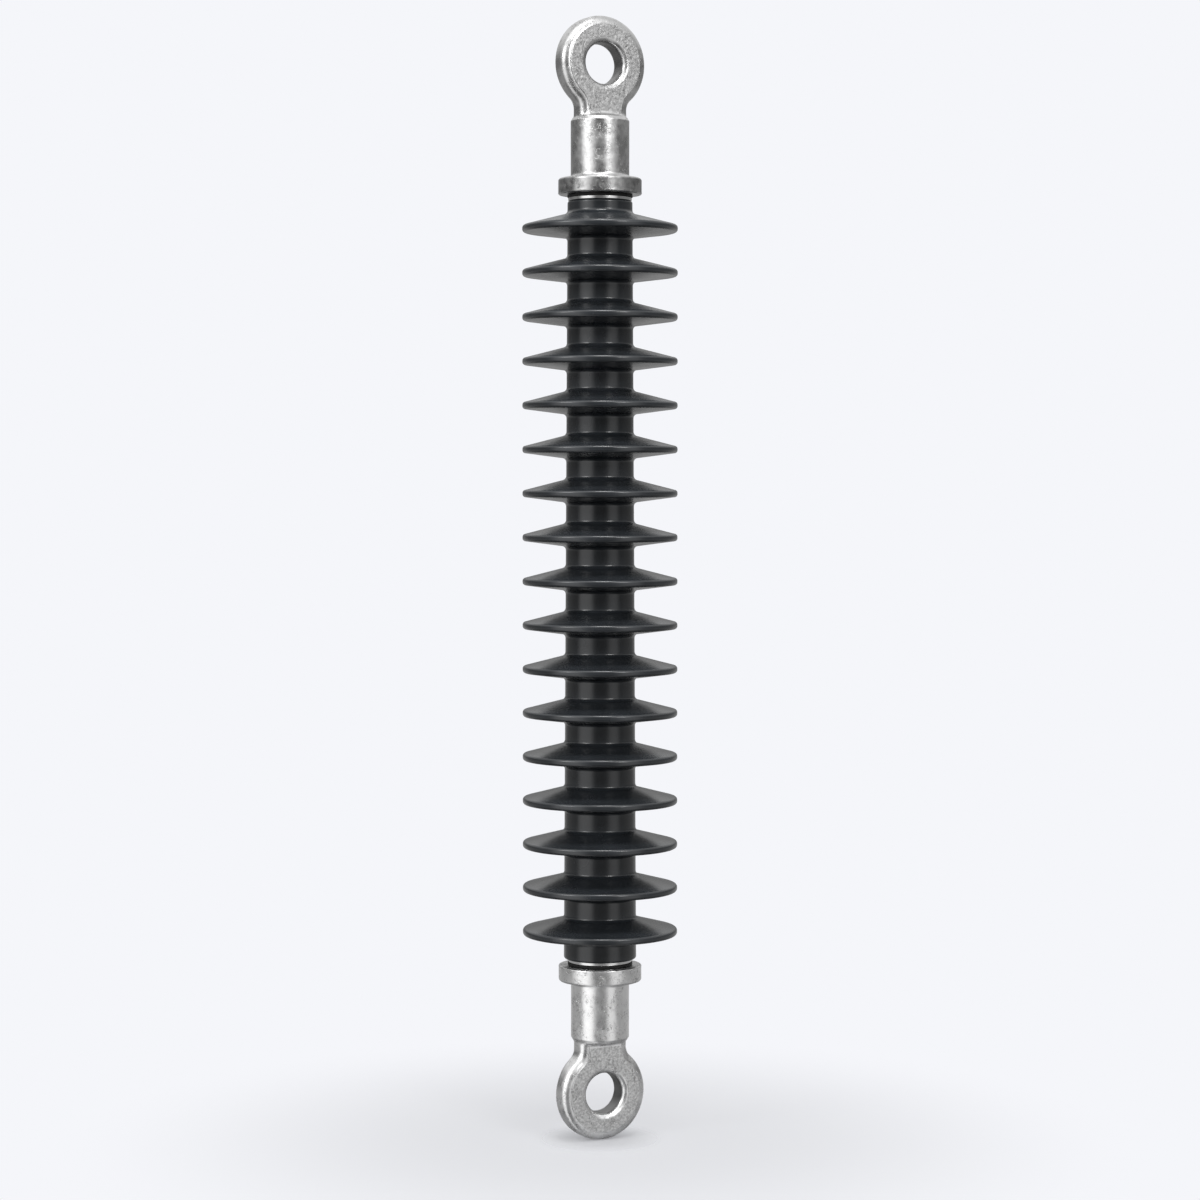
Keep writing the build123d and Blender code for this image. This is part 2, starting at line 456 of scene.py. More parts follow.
steel_roughness = add_node(
    tree,
    "MapRange",
    values={"From Min": 0.3, "From Max": 0.7, "To Min": 0.18, "To Max": 0.28},
    links={"Value": stain},
)
finish_material(
    bright,
    {"Metallic": 1.0},
    {"Base Color": steel_colour, "Roughness": steel_roughness, "Normal": tool_marks},
)

# %% Make the seals and rings
SEAL_RADIUS = 20.2
SEAL_EDGE = 0.5
RING_RADIUS = 19.7
RING_EDGE = 0.35


def washer(node, outer, edge):
    """A closed ring profile with round outer edges, as high as the frame's node of that name."""
    low, high = (np.array(corner)[2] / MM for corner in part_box(node))
    corners = [(ROD_RADIUS, high), (outer, high), (outer, low), (ROD_RADIUS, low)]
    profile = rounded(corners, [edge, edge], steps=5)
    return turned(np.concatenate([profile, profile[:1]]), ROUND_COLUMNS)


for end in ("upper", "lower"):
    for kind, outer, edge, finish, slot in (
        ("seal", SEAL_RADIUS, SEAL_EDGE, sealing, "seal_rubber"),
        ("steel_ring", RING_RADIUS, RING_EDGE, bright, "bright_steel"),
    ):
        node = f"{end}_{kind}"
        mesh = joined_mesh(f"{node}_turned", [(washer(node, outer, edge), True)])
        keep_flats_flat(finished(mesh, finish, node))

# %% [markdown]
# ## The forged eye fittings
# Each fitting is one forging: a flat eye, a neck, a barrel pressed on the rod and a collar. It
# could be built from a ring and a tube that cut through each other, but a forging has no such
# seams. So the flat part is a grid that runs from the bore out to the edge and round it, and the
# barrel grows out of the neck's own section, which opens into a circle in a hollow curve.

# %% Sizes of the forging
EYE_RADIUS = 29.4
EYE_HALF_THICKNESS = 7.7
EYE_EDGE = 5.2
FLAT_STEP = 0.3  # the flat stands this much proud of the round edge beside it
BORE_RADIUS = 12.5
MOUTH_RADIUS = 4.0  # rounding of the bore's mouths
MOUTH_MARGIN = 0.6  # flat metal that belongs to the mouth's own rows
NECK_HALF_WIDTH = 16.6
NECK_CORNER = 8.5
NECK_END = -28.9  # where the flat grid hands over to the barrel's
FOOT_START = -29.9
BARREL_END = -32.5
BARREL_SHOULDER = -35.2
BARREL_RADIUS = 18.2
BEVEL = 1.7
BEVEL_LANDING = 0.4  # the neck's hollow curves end this far out on the bevel
SHOULDER_ROUND = 1.4
COLLAR_BACK = -70.3
COLLAR_FACE = -80.5
COLLAR_RADIUS = 25.9
COLLAR_ROOT = 2.2
COLLAR_BACK_EDGE = 1.7
COLLAR_FACE_EDGE = 1.0
SOCKET_END = -40.5
SOCKET_EDGE = 0.3
print("eye", 2 * EYE_RADIUS, "mm across, collar", 2 * COLLAR_RADIUS, "mm across")

# %% Outline of the eye and neck, with the direction into the metal
RING_POINTS = 231
CORNER_POINTS = 21
NECK_SIDE_POINTS = 4


def arc(centre, radius, start, end, count):
    """Points on a circle from one angle to another, and the unit vectors out from its centre."""
    angle = np.linspace(math.radians(start), math.radians(end), count)
    out = np.stack([np.cos(angle), np.sin(angle)], -1)
    return np.array(centre) + radius * out, out


corner_x = NECK_HALF_WIDTH + NECK_CORNER
corner_z = -math.sqrt((EYE_RADIUS + NECK_CORNER) ** 2 - corner_x**2)
corner_turn = math.degrees(math.atan2(-corner_z, -corner_x))
side, side_out = arc((corner_x, corner_z), NECK_CORNER, 180, corner_turn, CORNER_POINTS)
ring, ring_out = arc((0, 0), EYE_RADIUS, corner_turn - 180, 360 - corner_turn, RING_POINTS)
neck_low, neck_high = (NECK_HALF_WIDTH, NECK_END), (NECK_HALF_WIDTH, corner_z)
straight = np.linspace(neck_low, neck_high, NECK_SIDE_POINTS)[:-1]
right = np.concatenate([straight, side[:-1]])
right_in = np.concatenate([np.tile([-1.0, 0.0], (len(straight), 1)), side_out[:-1]])
flipped = np.array([-1, 1])
outline = np.concatenate([right, ring, right[::-1] * flipped])
inward = np.concatenate([right_in, -ring_out, right_in[::-1] * flipped])
print("columns round the outline:", len(outline))

# %% The flat grid of the eye: bore, its rounded mouth, flat and rounded edge
FLAT_ROWS = 18
NECK_POINTS = 61
MOUTH_STEP = 0.9  # longest stretch between two rows of the bore
STEP_TURN = 0.1  # the step beside the flat is made in the edge's first 0.1 radians
FINE_TURN = 0.12  # up to here, in radians, the edge has closer rows


def smooth(share):
    """A soft step: 3 s^2 - 2 s^3, with s held between 0 and 1."""
    held = np.clip(share, 0, 1)
    return held * held * (3 - 2 * held)


def across(line, heights):
    """Lifts rows of (x, z) points to the front face: y is minus the row's height."""
    y = np.broadcast_to(-np.asarray(heights, float)[:, None], line.shape[:2])
    return np.stack([line[..., 0], y, line[..., 1]], -1)


flat_end = outline + inward * EYE_EDGE
neck_flat_half = NECK_HALF_WIDTH - EYE_EDGE
fan = math.atan2(neck_flat_half, EYE_HALF_THICKNESS)
neck_x = EYE_HALF_THICKNESS * np.tan(np.linspace(-fan, fan, NECK_POINTS))
neck_line = np.stack([neck_x, np.full_like(neck_x, NECK_END)], -1)
border = np.concatenate([flat_end, neck_line[1:-1]])
direction = border / np.linalg.norm(border, axis=1, keepdims=True)
mouth = rounded(
    [
        (BORE_RADIUS, 0.0),
        (BORE_RADIUS, EYE_HALF_THICKNESS),
        (BORE_RADIUS + MOUTH_RADIUS + MOUTH_MARGIN, EYE_HALF_THICKNESS),
    ],
    [MOUTH_RADIUS],
    steps=14,
)
mouth = divided(mouth, MOUTH_STEP)
bore_rows = across(direction[None] * mouth[:, :1, None], mouth[:, 1])
share = np.linspace(0, 1, FLAT_ROWS)[:, None, None]
flat_rows = (1 - share) * direction * mouth[-1, 0] + share * border
flat_rows = across(flat_rows, np.full(FLAT_ROWS, EYE_HALF_THICKNESS))
fine_turns = np.linspace(0, FINE_TURN, 5)[:-1]
turn = np.concatenate([fine_turns, np.linspace(FINE_TURN, np.pi / 2, 11)])
step = FLAT_STEP * smooth(turn / STEP_TURN) * np.cos(turn)
edge_depth = EYE_EDGE * (1 - np.sin(turn)) + step * np.sin(turn)
edge_height = EYE_HALF_THICKNESS - EYE_EDGE * (1 - np.cos(turn)) - step * np.cos(turn)
side_height = np.linspace(EYE_HALF_THICKNESS - EYE_EDGE, 0, 5)[1:]
edge_depth = np.concatenate([edge_depth, 0 * side_height])
edge_height = np.concatenate([edge_height, side_height])
edge_rows = across(outline + inward * edge_depth[:, None, None], edge_height)
print("rows from bore to edge:", len(bore_rows) + len(flat_rows) + len(edge_rows))

# %% [markdown]
# The barrel starts as the neck's section, a rectangle with round corners. Going down, each point
# of that section follows its own hollow curve outwards, away from the rod's axis, until all reach
# the bevel at the barrel's end. From there on the section is a circle and only its radius changes.

# %% The barrel's grid, grown from the neck's section
HOLLOW_ROWS = 13
BARREL_STEP = 0.6  # longest stretch between two rows of the barrel
SOCKET_MARGIN = 0.5  # rows nearer than this to the socket's wall keep their spacing
quarter = np.stack([NECK_HALF_WIDTH - edge_depth, -edge_height], -1)
front = np.stack([neck_x, np.full_like(neck_x, -EYE_HALF_THICKNESS)], -1)
right_side = np.concatenate([quarter, quarter[-2::-1] * [1, -1]])
half_section = np.concatenate([front[:-1], right_side[:-1]])
section = np.concatenate([half_section, -half_section])
start_radius = np.linalg.norm(section, axis=1)
heading = section / start_radius[:, None]
bevel_slope = (BARREL_SHOULDER - BARREL_END) / BEVEL
landing = BARREL_RADIUS - BEVEL + BEVEL_LANDING
landing_z = BARREL_END + BEVEL_LANDING * bevel_slope
t = np.linspace(0, 1, HOLLOW_ROWS)[:, None]
hollow_radius = (1 - t**2) * start_radius + t**2 * landing
hollow_z = (1 - t) ** 2 * FOOT_START + 2 * t * (1 - t) * BARREL_END + t**2 * landing_z
hollow_z = np.broadcast_to(hollow_z, hollow_radius.shape)
barrel_profile = rounded(
    [
        (landing, landing_z),
        (BARREL_RADIUS, BARREL_SHOULDER),
        (BARREL_RADIUS, COLLAR_BACK),
        (COLLAR_RADIUS, COLLAR_BACK),
        (COLLAR_RADIUS, COLLAR_FACE),
        (ROD_RADIUS, COLLAR_FACE),
        (ROD_RADIUS, SOCKET_END),
        (0.0, SOCKET_END),
    ],
    [SHOULDER_ROUND, COLLAR_ROOT, COLLAR_BACK_EDGE, COLLAR_FACE_EDGE, SOCKET_EDGE, SOCKET_EDGE],
    steps=6,
)
outside = barrel_profile[:, 0] > ROD_RADIUS + SOCKET_MARGIN
outer_part = divided(barrel_profile[outside], BARREL_STEP)
barrel_profile = np.concatenate([outer_part, barrel_profile[~outside]])
turned_radius = np.broadcast_to(barrel_profile[1:, :1], (len(barrel_profile) - 1, len(section)))
turned_z = np.broadcast_to(barrel_profile[1:, 1:], turned_radius.shape)
radius = np.concatenate([start_radius[None], hollow_radius, turned_radius])
height = np.concatenate([np.full_like(start_radius, NECK_END)[None], hollow_z, turned_z])
barrel_rows = np.concatenate([heading * radius[..., None], height[..., None]], -1)
print("points round the barrel:", len(section), "rows:", len(barrel_rows))

# %% [markdown]
# A forging that has been dipped in zinc is never quite even. It has shallow waves, small pits and
# a few nicks from handling. The largest are cut into the mesh here, each as a smooth dent of
# random place, width and depth, with more of them on the flats, which the dies leave rougher.

# %% Waves, pits and nicks of the forging
LONG_WAVES = (26, 9)  # longest and shortest
LONG_WAVE_DEPTH = 0.12
SHORT_WAVES = (4.5, 1.8)
SHORT_WAVE_DEPTHS = (0.07, 0.025)  # on the flats and elsewhere
DENTS_ON_FLATS = 220
DENTS_ELSEWHERE = 150
DENT_WIDTHS = (0.45, 1.0)
DENT_DEPTHS = (0.03, 0.13)
SHALLOWER = 0.6  # share of that depth for dents elsewhere
NICK_SHARE = 0.45  # of the dents, drawn out to long nicks
NICK_LENGTHS = (3, 7)  # times the width
NARROWER = 0.75  # share of a dent's width for a nick
FLAT_FACING = 0.985  # least share of Y in the normal of a flat
FLAT_DEPTH = 0.05  # a flat lies no deeper than this under its own plane
SOCKET_REACH = 1.0  # what is this near to the rod is out of sight in the socket
EVEN_FACE = 1.5  # this much of the collar, from its face, stays as it was turned
WALL_REACH = 0.5  # the painted shade and the dullness of the bore's wall end this far out on the mouth
WALL_FADE = 0.4
STAIN_START = 0.5  # the collar's stain starts this far under its back


def waves(places, seed, longest, shortest, count=14):
    """A sum of sine waves in random directions, scaled to run from 0 to 1."""
    random = np.random.default_rng(seed)
    headings = random.normal(size=(count, 3))
    headings /= np.linalg.norm(headings, axis=1, keepdims=True)
    lengths = random.uniform(shortest, longest, count)
    phases = random.uniform(0, 2 * np.pi, count)
    total = np.sin(places @ (headings * 2 * np.pi / lengths[:, None]).T + phases).mean(1)
    return np.clip(0.5 + total, 0, 1)


def dents(places, centres, headings, widths, lengths, depths):
    """The deepest of many dents: depth times exp(-(across / width)^2 - (along / length)^2)."""
    deepest = np.zeros(len(places))
    for centre, heading, width, length, depth in zip(centres, headings, widths, lengths, depths):
        apart = places - centre
        along = apart @ heading
        across_squared = (apart**2).sum(1) - along**2
        dent = depth * np.exp(-across_squared / width**2 - (along / length) ** 2)
        deepest = np.maximum(deepest, dent)
    return deepest


def keep_attribute(mesh, name, values):
    """Stores one number per vertex, which a material can read by its name."""
    attribute = mesh.attributes.new(name, "FLOAT", "POINT")
    attribute.data.foreach_set("value", np.asarray(values, float))


def weathered(mesh, seed, shade_of_zinc, collar_stain):
    """Moves the forging's surface inwards by its waves, pits and nicks, in millimetres.

    It also marks the flats, the bore's wall (dull, and painted darker as shade) and the collar,
    whose finishes differ, and how much painted shade the zinc of the whole fitting gets.
    """
    places = vertex_places(mesh)
    normals = vertex_normals(mesh)
    random = np.random.default_rng(seed)
    from_bore = np.hypot(places[:, 0], places[:, 2])
    from_rod = np.hypot(places[:, 0], places[:, 1])
    in_eye = places[:, 2] > NECK_END
    flat = (np.abs(normals[:, 1]) > FLAT_FACING) & in_eye
    flat &= np.abs(places[:, 1]) > EYE_HALF_THICKNESS - FLAT_DEPTH
    hidden = (from_rod < ROD_RADIUS + SOCKET_REACH) & (places[:, 2] < BARREL_END)
    shown = (places[:, 2] > COLLAR_FACE + EVEN_FACE) & ~hidden
    bore_shade_and_dullness = smooth((BORE_RADIUS + WALL_REACH - from_bore) / WALL_FADE) * in_eye
    on_collar = places[:, 2] < COLLAR_BACK - STAIN_START
    on_flat = places[random.choice(np.flatnonzero(flat), DENTS_ON_FLATS)]
    elsewhere = places[random.choice(np.flatnonzero(shown & ~flat), DENTS_ELSEWHERE)]
    centres = np.concatenate([on_flat, elsewhere])
    count = len(centres)
    in_flat = np.arange(count) < DENTS_ON_FLATS
    nick = random.random(count) < NICK_SHARE
    headings = random.normal(size=(count, 3))
    headings[in_flat, 1] = 0.0  # a nick on a flat runs along it
    headings /= np.linalg.norm(headings, axis=1, keepdims=True)
    widths = random.uniform(*DENT_WIDTHS, count) * np.where(nick, NARROWER, 1.0)
    lengths = widths * np.where(nick, random.uniform(*NICK_LENGTHS, count), 1.0)
    depths = random.uniform(*DENT_DEPTHS, count) * np.where(in_flat, 1.0, SHALLOWER)
    sunk = LONG_WAVE_DEPTH * waves(places, seed + 1, *LONG_WAVES)
    sunk += dents(places, centres, headings, widths, lengths, depths)
    sunk += np.where(flat, *SHORT_WAVE_DEPTHS) * waves(places, seed + 2, *SHORT_WAVES)
    put_places(mesh, places - normals * (sunk * shown)[:, None])
    keep_attribute(mesh, "forged_flat", flat)
    keep_attribute(mesh, "bore_shade_and_dullness", bore_shade_and_dullness)
    keep_attribute(mesh, "zinc_painted_shade", np.full(len(places), shade_of_zinc))
    keep_attribute(mesh, "collar_stain", on_collar * collar_stain)


# %% [markdown]
# Hot-dip galvanising leaves a skin of zinc: a pale grey metal that is bright where it is smooth
# and dull where it has grown rough. The flats of the eye are the roughest and the collar is
# stained. The bore is duller and painted darker, as painted shade inside the hole. The zinc of
# the upper fitting is painted a shade darker than the lower one's, as painted shade. Fine grit and
# the thin wrinkles of the zinc are drawn in the bump, because they are too small to be worth a
# mesh; the bottom of each wrinkle is also painted darker, as shade in its crease.

# %% Hot-dip galvanised forging: where each finish lies
galvanised, tree, place = new_material("hot_dip_galvanised_forging")
flatness = add_node(tree, "Attribute", settings={"attribute_name": "forged_flat"}).outputs["Fac"]
shaded_dull_bore = add_node(tree, "Attribute", settings={"attribute_name": "bore_shade_and_dullness"}).outputs["Fac"]
staining = add_node(tree, "Attribute", settings={"attribute_name": "collar_stain"}).outputs["Fac"]
zinc_shading = add_node(tree, "Attribute", settings={"attribute_name": "zinc_painted_shade"}).outputs["Fac"]
clouds = add_node(
    tree,
    "TexNoise",
    values={"Scale": per_mm(7), "Detail": 5.0, "Roughness": 0.6},
    links={"Vector": place},
)
clouds = add_node(
    tree, "MapRange", values={"From Min": 0.35, "From Max": 0.65}, links={"Value": clouds}
)
grit = add_node(
    tree,
    "TexNoise",
    values={"Scale": per_mm(1.5), "Detail": 3.0, "Roughness": 0.65},
    links={"Vector": place},
)
grit = add_node(
    tree, "MapRange", values={"From Min": 0.36, "From Max": 0.62}, links={"Value": grit}
)
print("patterns over the forging:", len(tree.nodes), "nodes so far")

# %% Thin wrinkles of the zinc, where a slow noise crosses its middle value
WRINKLES_APART = 4.5  # mm
WRINKLED_PATCH = 9  # mm
crossing = add_node(
    tree,
    "TexNoise",
    values={"Scale": per_mm(WRINKLES_APART), "Detail": 2.0, "Distortion": 1.6},
    links={"Vector": place},
)
crossing = add_node(
    tree, "Math", settings={"operation": "SUBTRACT"}, values={1: 0.5}, links={0: crossing}
)
crossing = add_node(tree, "Math", settings={"operation": "ABSOLUTE"}, links={0: crossing})
crossing = add_node(
    tree,
    "MapRange",
    settings={"interpolation_type": "SMOOTHSTEP"},
    values={"From Min": 0.004, "From Max": 0.03, "To Min": 1.0, "To Max": 0.0},
    links={"Value": crossing},
)
patchy = add_node(
    tree, "TexNoise", values={"Scale": per_mm(WRINKLED_PATCH)}, links={"Vector": place}
)
patchy = add_node(
    tree, "MapRange", values={"From Min": 0.47, "From Max": 0.56}, links={"Value": patchy}
)
wrinkles = add_node(
    tree, "Math", settings={"operation": "MULTIPLY"}, links={0: crossing, 1: patchy}
)
print("wrinkles about", WRINKLES_APART, "mm apart, in patches of", WRINKLED_PATCH, "mm")

# %% Colour of the forging
WRINKLE_PAINTED_SHADE = 0.55  # share of the dark colour painted in the bottom of a wrinkle, as shade in its crease
smooth_zinc = add_node(
    tree,
    "Mix",
    settings={"data_type": "RGBA"},
    values={6: linear("#d8d8d8"), 7: linear("#f2f2f2")},
    links={0: clouds},
).outputs[2]
rough_zinc = add_node(
    tree,
    "Mix",
    settings={"data_type": "RGBA"},
    values={6: linear("#aaaaaa"), 7: linear("#e2e2e2")},
    links={0: grit},
).outputs[2]
zinc = add_node(
    tree,
    "Mix",
    settings={"data_type": "RGBA"},
    links={0: flatness, 6: smooth_zinc, 7: rough_zinc},
).outputs[2]
# Painted shade: the upper fitting's zinc is multiplied a shade darker than the lower one's.
zinc = add_node(
    tree,
    "Mix",
    settings={"data_type": "RGBA", "blend_type": "MULTIPLY"},
    values={7: linear("#dadada")},
    links={0: zinc_shading, 6: zinc},
).outputs[2]
# Painted shade: the bottom of each wrinkle is painted darker, as shade in the crease.
painted_crease_shade = add_node(
    tree,
    "Math",
    settings={"operation": "MULTIPLY"},
    values={1: WRINKLE_PAINTED_SHADE},
    links={0: wrinkles},
)
zinc = add_node(
    tree,
    "Mix",
    settings={"data_type": "RGBA"},
    values={7: linear("#5c5c5c")},
    links={0: painted_crease_shade, 6: zinc},
).outputs[2]
# Painted shade: the bore's wall is painted darker, as shade inside the hole.
zinc = add_node(
    tree,
    "Mix",
    settings={"data_type": "RGBA"},
    values={7: linear("#7c7c7c")},
    links={0: shaded_dull_bore, 6: zinc},
).outputs[2]
stains = add_node(
    tree,
    "TexNoise",
    values={"Scale": per_mm(5), "Detail": 4.0, "Roughness": 0.7},
    links={"Vector": place},
)
stains = add_node(
    tree,
    "MapRange",
    values={"From Min": 0.35, "From Max": 0.55, "To Min": 1.0, "To Max": 0.45},
    links={"Value": stains},
)
stains = add_node(
    tree, "Math", settings={"operation": "MULTIPLY"}, links={0: stains, 1: staining}
)
zinc = add_node(
    tree,
    "Mix",
    settings={"data_type": "RGBA"},
    values={7: linear("#4a4a4a")},
    links={0: stains, 6: zinc},
).outputs[2]
print("with the colour of the forging:", len(tree.nodes), "nodes so far")

# %% Roughness and relief of the forging
BORE_DULLNESS = 0.7  # against 1 for the flats
DULLER_BY = 0.14  # roughness that a fully dull place has more than bright zinc
duller = add_node(
    tree,
    "Math",
    settings={"operation": "MULTIPLY_ADD", "use_clamp": True},
    values={1: BORE_DULLNESS},
    links={0: shaded_dull_bore, 2: flatness},
)
zinc_roughness = add_node(
    tree, "MapRange", values={"To Min": 0.24, "To Max": 0.36}, links={"Value": clouds}
)
zinc_roughness = add_node(
    tree,
    "Math",
    settings={"operation": "MULTIPLY_ADD"},
    values={1: DULLER_BY},
    links={0: duller, 2: zinc_roughness},
)
grit_share = add_node(
    tree, "MapRange", values={"To Min": 0.3, "To Max": 1.0}, links={"Value": flatness}
)
grit_height = add_node(
    tree, "Math", settings={"operation": "MULTIPLY"}, links={0: grit, 1: grit_share}
)
relief = add_node(
    tree, "Bump", values={"Strength": 0.6, "Distance": 0.07 * MM}, links={"Height": grit_height}
)
relief = add_node(
    tree,
    "Bump",
    settings={"invert": True},
    values={"Strength": 0.7, "Distance": 0.08 * MM},
    links={"Height": wrinkles, "Normal": relief},
)
finish_material(
    galvanised,
    {"Metallic": 1.0},
    {"Base Color": zinc, "Roughness": zinc_roughness, "Normal": relief},
)

# %% Make both fittings
FITTINGS = (  # end, seed of its dents, painted shade of its zinc, stain on its collar
    ("upper", 11, 1.0, 0.65),
    ("lower", 29, 0.0, 0.12),
)
mirrored = np.array([1, -1, 1])
for end, seed, shade_of_zinc, collar_stain in FITTINGS:
    patches_of_forging = [(barrel_rows, True)]
    for face in (1, mirrored):
        patches_of_forging += [(bore_rows * face, True), (flat_rows * face, True)]
        patches_of_forging += [(edge_rows * face, False)]
    mesh = joined_mesh(f"{end}_eye_forging", patches_of_forging)
    weathered(mesh, seed, shade_of_zinc, collar_stain)
    if end == "lower":
        put_places(mesh, vertex_places(mesh) * [-1, 1, -1] - [0, 0, SECTION_LENGTH])
    finished(mesh, galvanised, f"{end}_eye_fitting")

# %% [markdown]
# ## The glass-fibre rod
# The rod is out of sight inside the housing. A new cylinder would add nothing to see, so it keeps
# the frame's own mesh and only gets the look of pultruded glass in resin: long streaks along the
# rod in a dull greenish yellow.

# %% Pultruded glass fibre
fibre, tree, place = new_material("pultruded_glass_fibre")
STREAK_SHARE = 0.02  # a streak's width as a share of its length
along = add_node(
    tree, "Mapping", values={"Scale": (1.0, 1.0, STREAK_SHARE)}, links={"Vector": place}
)
streaks = add_node(
    tree, "TexNoise", values={"Scale": per_mm(0.7), "Detail": 3.0}, links={"Vector": along}
)
fibre_colour = add_node(
    tree,
    "Mix",
    settings={"data_type": "RGBA"},
    values={6: linear("#b9b184"), 7: linear("#d5cfa6")},
    links={0: streaks},
).outputs[2]
fibre_roughness = add_node(
    tree,
    "MapRange",
    values={"From Min": 0.3, "From Max": 0.7, "To Min": 0.35, "To Max": 0.5},
    links={"Value": streaks},
)
fibre_relief = add_node(tree, "Bump", values={"Distance": 0.03 * MM}, links={"Height": streaks})
finish_material(
    fibre,
    {"Metallic": 0.0, "IOR": 1.52},
    {"Base Color": fibre_colour, "Roughness": fibre_roughness, "Normal": fibre_relief},
)
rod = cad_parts["core_rod"]
rod.data.materials.clear()
rod.data.materials.append(fibre)

# %% [markdown]
# ## The studio
# Bright metal and smooth rubber show the room around them more than themselves. So the world is
# even and dim for diffuse light, and where a shiny surface looks at it, it is a studio: a bright
# wall left and right of the camera, which gives each round surface two bands of light with a
# darker stripe between, a pale ceiling, and a floor that glows just below the horizon. Two far
# lamps, about 25 degrees up, put a short arc of light at the root of each shed. The sheds above
# would cut off any steeper light there. A third lamp, high in front, draws the lines on the rims.

# %% Floor: clear but for the shadow, so that it runs into the backdrop without a line
FLOOR_HALF = 3.0  # metres
floor_height = cad_box[0][2]
floor_mesh = bpy.data.meshes.new("floor")
floor_corners = np.array([(-1, -1), (1, -1), (1, 1), (-1, 1)]) * FLOOR_HALF
floor_mesh.from_pydata([(x, y, floor_height) for x, y in floor_corners], [], [(0, 1, 2, 3)])
floor = bpy.data.objects.new("floor", floor_mesh)
bpy.context.collection.objects.link(floor)
floor_finish, tree, place = new_material("pale_floor")
level = add_node(
    tree,
    "VectorMath",
    settings={"operation": "MULTIPLY"},
    values={1: (1.0, 1.0, 0.0)},
    links={0: place},
)
distance = add_node(
    tree, "VectorMath", settings={"operation": "LENGTH"}, links={0: level}
).outputs["Value"]
# Near the foot the floor is 72 per cent clear, and from 0.34 m outwards wholly.
fade = add_node(
    tree,
    "MapRange",
    settings={"interpolation_type": "SMOOTHSTEP"},
    values={"From Min": 0.05, "From Max": 0.34, "To Min": 0.72},
    links={"Value": distance},
)
# Right under the foot it is less clear, so that the contact shadow is the darkest.
core = add_node(
    tree,
    "MapRange",
    settings={"interpolation_type": "SMOOTHSTEP"},
    values={"From Min": 0.0, "From Max": 0.045, "To Min": 0.35, "To Max": 1.0},
    links={"Value": distance},
)
fade = add_node(tree, "Math", settings={"operation": "MULTIPLY"}, links={0: fade, 1: core})
matt = add_node(tree, "BsdfDiffuse", values={"Color": linear("#d8d9dc"), "Roughness": 0.0})
clear = add_node(tree, "BsdfTransparent")
blend = add_node(tree, "MixShader", links={0: fade, 1: matt, 2: clear})
add_node(tree, "OutputMaterial", links={"Surface": blend})
floor_mesh.materials.append(floor_finish)
print("floor at", round(floor_height, 4), "m")

# %% World: the ray's azimuth, measured from the camera's side
world = bpy.data.worlds.new("studio")
bpy.context.scene.world = world
world.use_nodes = True
tree = world.node_tree
tree.nodes.clear()
heading_of_ray = add_node(tree, "TexCoord").outputs["Generated"]
heading_of_ray = add_node(
    tree,
    "Mapping",
    values={"Rotation": (0.0, 0.0, -math.radians(CAMERA_AZIMUTH))},
    links={"Vector": heading_of_ray},
)
parts = add_node(tree, "SeparateXYZ", links={0: heading_of_ray}).outputs
towards = add_node(
    tree, "Math", settings={"operation": "MULTIPLY"}, values={1: -1.0}, links={0: parts["Y"]}
)
azimuth = add_node(
    tree, "Math", settings={"operation": "ARCTAN2"}, links={0: parts["X"], 1: towards}
)
print("azimuths count from", CAMERA_AZIMUTH, "degrees")

# %% World: bright walls left, right and behind and a pale ceiling, for shiny surfaces
BAND_HEIGHT = -0.24  # of the glow below the horizon; 1 is straight up and -1 straight down
WALL_EDGE = 9.0  # degrees to each side over which a wall fades
WALLS = (  # middle and half width in degrees, brightness; the last two are one wall behind
    (-49.0, 24.0, 1.15),
    (46.0, 17.0, 0.72),
    (108.0, 30.0, 0.12),
    (-108.0, 22.0, 0.12),
    (180.0, 42.0, 0.22),
    (-180.0, 42.0, 0.22),
)
off_band = add_node(
    tree,
    "Math",
    settings={"operation": "SUBTRACT"},
    values={1: BAND_HEIGHT},
    links={0: parts["Z"]},
)
off_band = add_node(tree, "Math", settings={"operation": "ABSOLUTE"}, links={0: off_band})
room = add_node(
    tree,
    "MapRange",
    settings={"interpolation_type": "SMOOTHSTEP"},
    values={"From Min": 0.05, "From Max": 0.30, "To Min": 0.34, "To Max": 0.10},
    links={"Value": off_band},
)
ceiling = add_node(
    tree,
    "MapRange",
    settings={"interpolation_type": "SMOOTHSTEP"},
    values={"From Min": 0.12, "From Max": 0.5, "To Max": 0.72},
    links={"Value": parts["Z"]},
)
room = add_node(tree, "Math", settings={"operation": "ADD"}, links={0: room, 1: ceiling})
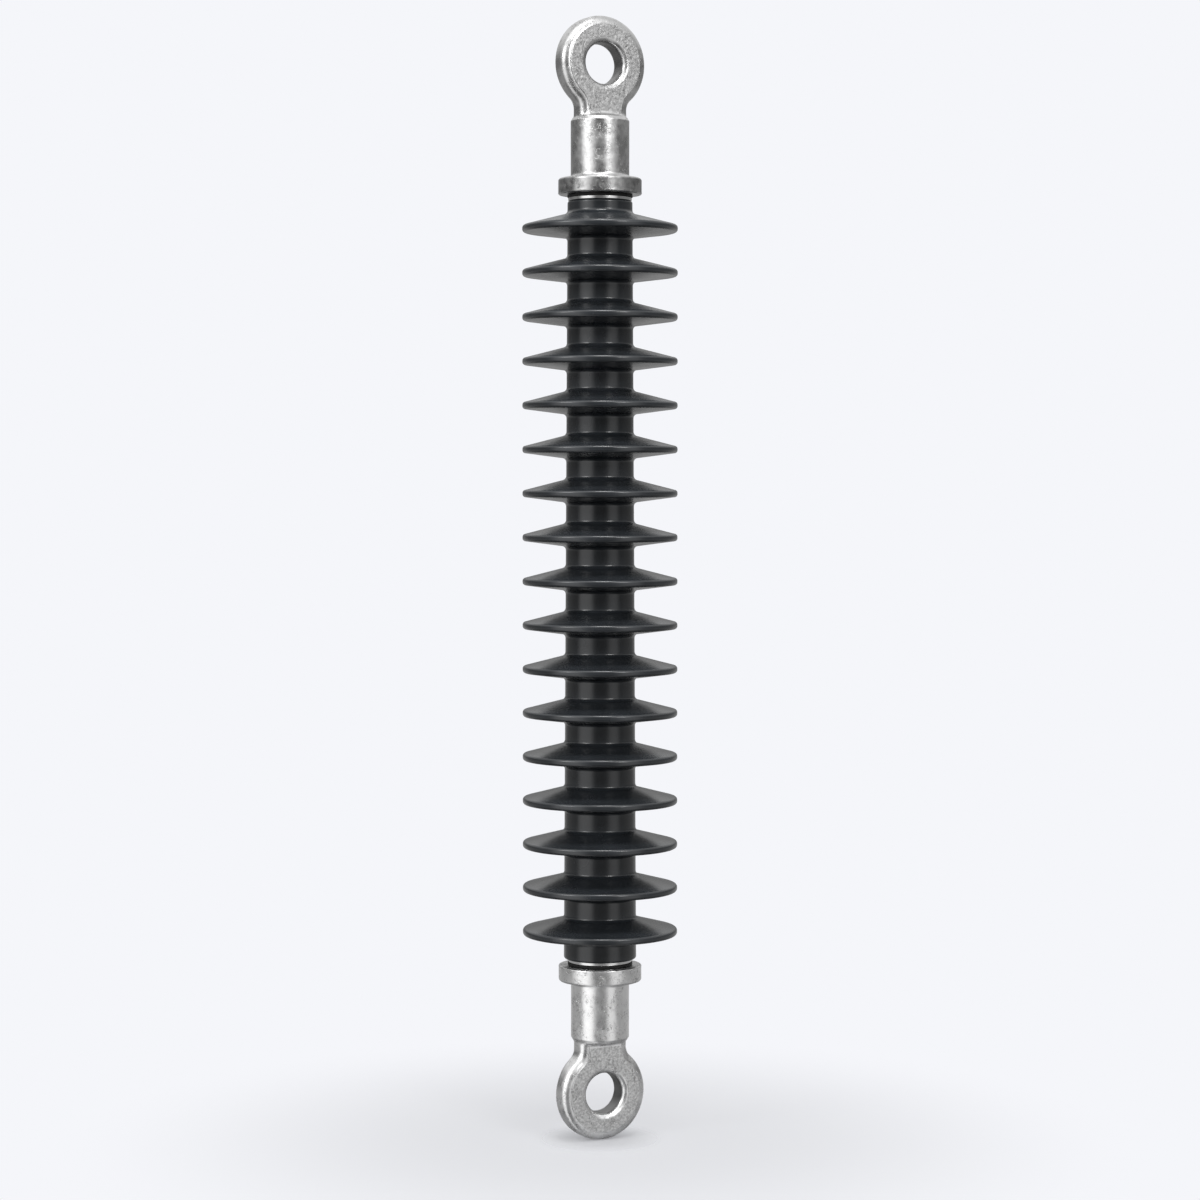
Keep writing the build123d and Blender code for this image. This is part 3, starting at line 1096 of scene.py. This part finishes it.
for middle, half_width, brightness in WALLS:
    aside = add_node(
        tree,
        "Math",
        settings={"operation": "SUBTRACT"},
        values={1: math.radians(middle)},
        links={0: azimuth},
    )
    aside = add_node(tree, "Math", settings={"operation": "ABSOLUTE"}, links={0: aside})
    wall = add_node(
        tree,
        "MapRange",
        settings={"interpolation_type": "SMOOTHSTEP"},
        values={
            "From Min": math.radians(half_width - WALL_EDGE),
            "From Max": math.radians(half_width + WALL_EDGE),
            "To Min": brightness,
            "To Max": 0.0,
        },
        links={"Value": aside},
    )
    room = add_node(tree, "Math", settings={"operation": "ADD"}, links={0: room, 1: wall})

# %% World: even light for matt surfaces and the pale backdrop
rays = add_node(tree, "LightPath").outputs
ambient = add_node(
    tree, "Background", values={"Color": linear("#f7f7f9"), "Strength": 0.12}
)
walls = add_node(
    tree, "Background", values={"Color": linear("#fafafa")}, links={"Strength": room}
)
backdrop = add_node(tree, "Background", values={"Color": linear("#f5f6fa"), "Strength": 1.0})
lit = add_node(tree, "MixShader", links={0: rays["Is Glossy Ray"], 1: ambient, 2: walls})
seen = add_node(
    tree,
    "Math",
    settings={"operation": "MAXIMUM"},
    links={0: rays["Is Camera Ray"], 1: rays["Is Transmission Ray"]},
)
seen_world = add_node(tree, "MixShader", links={0: seen, 1: lit, 2: backdrop})
add_node(tree, "OutputWorld", links={"Surface": seen_world})
print("world:", len(tree.nodes), "nodes,", len(WALLS), "walls")

# %% Soft lights


def soft_light(name, azimuth, distance, height, width, tall, radiance):
    """A rectangular light at an azimuth from the camera's, aimed at the insulator's middle.

    Its power is radiance times pi times its area, so radiance 1 looks as bright as white.
    """
    data = bpy.data.lights.new(name, "AREA")
    data.shape = "RECTANGLE"
    data.size = width * MM
    data.size_y = tall * MM
    data.energy = radiance * math.pi * data.size * data.size_y
    light = bpy.data.objects.new(name, data)
    light.location = around(CAMERA_AZIMUTH + azimuth, distance, height)
    aim(light, (0, 0, AIM_HEIGHT * MM))
    bpy.context.collection.objects.link(light)
    print(f"{name}: {data.energy:.1f} W")


soft_light("left_lamp", -52, 2600, 860, width=900, tall=500, radiance=10.0)
soft_light("right_lamp", 34, 2600, 860, width=700, tall=600, radiance=11.0)
soft_light("overhead_lamp", 8, 700, 1100, width=500, tall=360, radiance=15.0)
